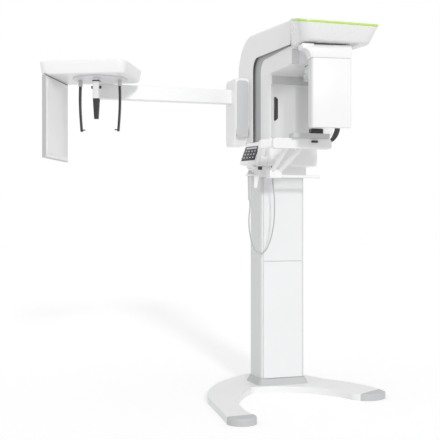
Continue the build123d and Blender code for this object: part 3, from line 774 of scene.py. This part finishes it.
def build_nose_ring():
    """The dark ring and the two small knobs of the nose rest."""
    ring = start_box("nose_ring", (-0.0205, -0.1035, 1.9330), (0.0205, -0.0565, 1.9400))
    sharp_bevel(ring, 0.0022, 3)
    settle(ring, skull_yaw, skull_pivot)
    hand_over(ring, finishes["dark"], "nose_rest", "dark")
    for side in (-1, 1):
        bpy.ops.object.select_all(action="DESELECT")
        bpy.ops.mesh.primitive_cylinder_add(
            vertices=32, radius=knob_radius, depth=knob_length,
            location=(side * 0.0245, -0.080, 1.899), rotation=(0, math.radians(90), 0),
        )
        knob = bpy.context.object
        knob.name = "nose_knob"
        bpy.ops.object.transform_apply(location=True, rotation=True, scale=True)
        sharp_bevel(knob, 0.002, 3)
        settle(knob, skull_yaw, skull_pivot)
        hand_over(knob, finishes["dark"], "nose_rest", "dark")


# Slot window in the mirror and the stop button


def build_small_parts():
    """The slot window with its cut corners, and the stop button."""
    slot = start_box("slot_glass", (-0.137, -0.2972, 1.717), (-0.111, -0.2925, 1.864))
    bevel_where(slot, lambda a, b: a.x > -0.112 and b.x > -0.112 and abs(a.z - b.z) < 1e-5,
                0.014, 1)
    sharp_bevel(slot, 0.0008, 2, 60.0)
    settle(slot)
    hand_over(slot, extra_finishes["window"], "carriage", "dark", "slot_window")
    button = start_box("stop_button", (-0.239, -0.294, 1.411), (-0.213, -0.276, 1.432))
    bevel_where(button, upright_edge, 0.008, 6)
    sharp_bevel(button, 0.003, 3, 50.0)
    settle(button)
    hand_over(button, finishes["dark"], "stop", "dark", "stop_knob")


# Bracket of the skull arm: a grey cheek on its front


def build_bracket_cheek():
    """The grey rounded cover on the bracket's front."""
    cheek = start_box("bracket_cheek", (-0.262, 0.044, 1.640), (-0.183, 0.056, 2.012))
    bevel_where(cheek, lambda a, b: abs(a.x - b.x) < 1e-5 and abs(a.z - b.z) < 1e-5, 0.020, 6)
    sharp_bevel(cheek, 0.0025, 3, 50.0)
    settle(cheek)
    hand_over(cheek, finishes["mid_grey"], "carriage", "mid_grey")


# Console: black glass with rows of key tops

console_middle = (-0.250, -0.170, 1.520)
console_turn = 73.0
console_tilt = 23.0
screen_size = (0.138, 0.096)
key_columns = 4
key_rows = 3
key_start = (-0.045, -0.030)
key_pitch = (0.030, 0.022)
key_half = (0.0055, 0.0040)


def lay_on_console(made):
    """Put a piece that was made flat on the XY plane onto the console's face."""
    bpy.ops.object.select_all(action="DESELECT")
    made.select_set(True)
    bpy.context.view_layer.objects.active = made
    made.location = console_middle
    made.rotation_euler = (math.radians(90 - console_tilt), 0, math.radians(-console_turn))
    bpy.ops.object.transform_apply(location=True, rotation=True, scale=True)
    bpy.ops.object.shade_smooth_by_angle(angle=math.radians(35))


def build_console():
    """The glass, a small display area and the key tops."""
    half = (screen_size[0] / 2, screen_size[1] / 2)
    glass = start_box("console_glass", (-half[0], -half[1], -0.004), (half[0], half[1], 0.0005))
    bevel_where(glass, upright_edge, 0.006, 5)
    sharp_bevel(glass, 0.0008, 2, 50.0)
    lay_on_console(glass)
    hand_over(glass, extra_finishes["glass"], "carriage", "smoked", "console_screen")
    keys = []
    for row in range(key_rows):
        for column in range(key_columns):
            x = key_start[0] + column * key_pitch[0]
            y = key_start[1] + row * key_pitch[1]
            key = start_box("key", (x - key_half[0], y - key_half[1], 0.0),
                            (x + key_half[0], y + key_half[1], 0.0014))
            bevel_where(key, upright_edge, 0.0025, 4)
            keys.append(key)
    display = start_box("key", (-0.052, 0.030, 0.0), (0.052, 0.040, 0.0010))
    keys.append(display)
    bpy.ops.object.select_all(action="DESELECT")
    for key in keys:
        key.select_set(True)
    bpy.context.view_layer.objects.active = keys[0]
    bpy.ops.object.join()
    keys[0].name = "console_keys"
    lay_on_console(keys[0])
    hand_over(keys[0], extra_finishes["key"], "carriage", "mid_grey")


build_outer_arch()
build_inner_arch()
build_canopy()
build_tube_housing()
build_skull_head()
build_ear_arm(-1, "ear_left", "ear_arm_left")
build_ear_arm(1, "ear_right", "ear_arm_right")
build_nose_ring()
build_small_parts()
build_bracket_cheek()
build_console()

# Floor, backdrop and light

floor_glow = 0.22
world_light = 0.80
front_sun = ((0.65, 6.8, -2.3), 1.05, 7.0)
overhead_sun = ((0.02, 0.05, -1.0), 0.35, 100.0)

def add_floor():
    """A pale floor that runs on to the horizon, with the unit's shadow on it."""
    bpy.ops.object.select_all(action="DESELECT")
    bpy.ops.mesh.primitive_plane_add(size=60.0)
    floor = bpy.context.object
    floor.name = "floor"
    shader = Shader("pale floor")
    speckle = shader.noise(40.0, 3.0)
    shader.set(
        Base_Color=shader.tint(speckle, (0.88, 0.88, 0.885), (0.91, 0.91, 0.915)),
        Roughness=0.9,
        Emission_Color=shader.tint(shader.seen_ray(), (0.0, 0.0, 0.0), (floor_glow,) * 3),
        Emission_Strength=1.0,
    )
    floor.data.materials.append(shader.material)
    return floor


def add_world(strength):
    """White surroundings: full white to the camera and in gloss and glass, softer as light."""
    world = bpy.data.worlds.new("studio")
    world.use_nodes = True
    nodes = Nodes(world.node_tree)
    light = nodes.node("ShaderNodeBackground", {}, {"Strength": strength})
    seen = nodes.node("ShaderNodeBackground", {}, {"Color": (1, 1, 1, 1), "Strength": 1.0})
    mix = nodes.node("ShaderNodeMixShader", {}, {0: nodes.seen_ray(), 1: light, 2: seen})
    output = nodes.tree.nodes.new("ShaderNodeOutputWorld")
    nodes.feed(output.inputs["Surface"], mix)
    bpy.context.scene.world = world


def add_sun(way, strength, softness):
    """A sun that shines along a direction, with its disc's width in degrees as softness."""
    data = bpy.data.lights.new("sun", "SUN")
    data.energy = strength
    data.angle = math.radians(softness)
    sun = bpy.data.objects.new("sun", data)
    flat = math.hypot(way[0], way[1])
    sun.rotation_euler = (math.atan2(flat, -way[2]), 0, math.atan2(-way[0], way[1]))
    bpy.context.scene.collection.objects.link(sun)


add_floor()
add_world(world_light)
add_sun(*front_sun)
add_sun(*overhead_sun)
bpy.context.scene.view_settings.view_transform = "Standard"
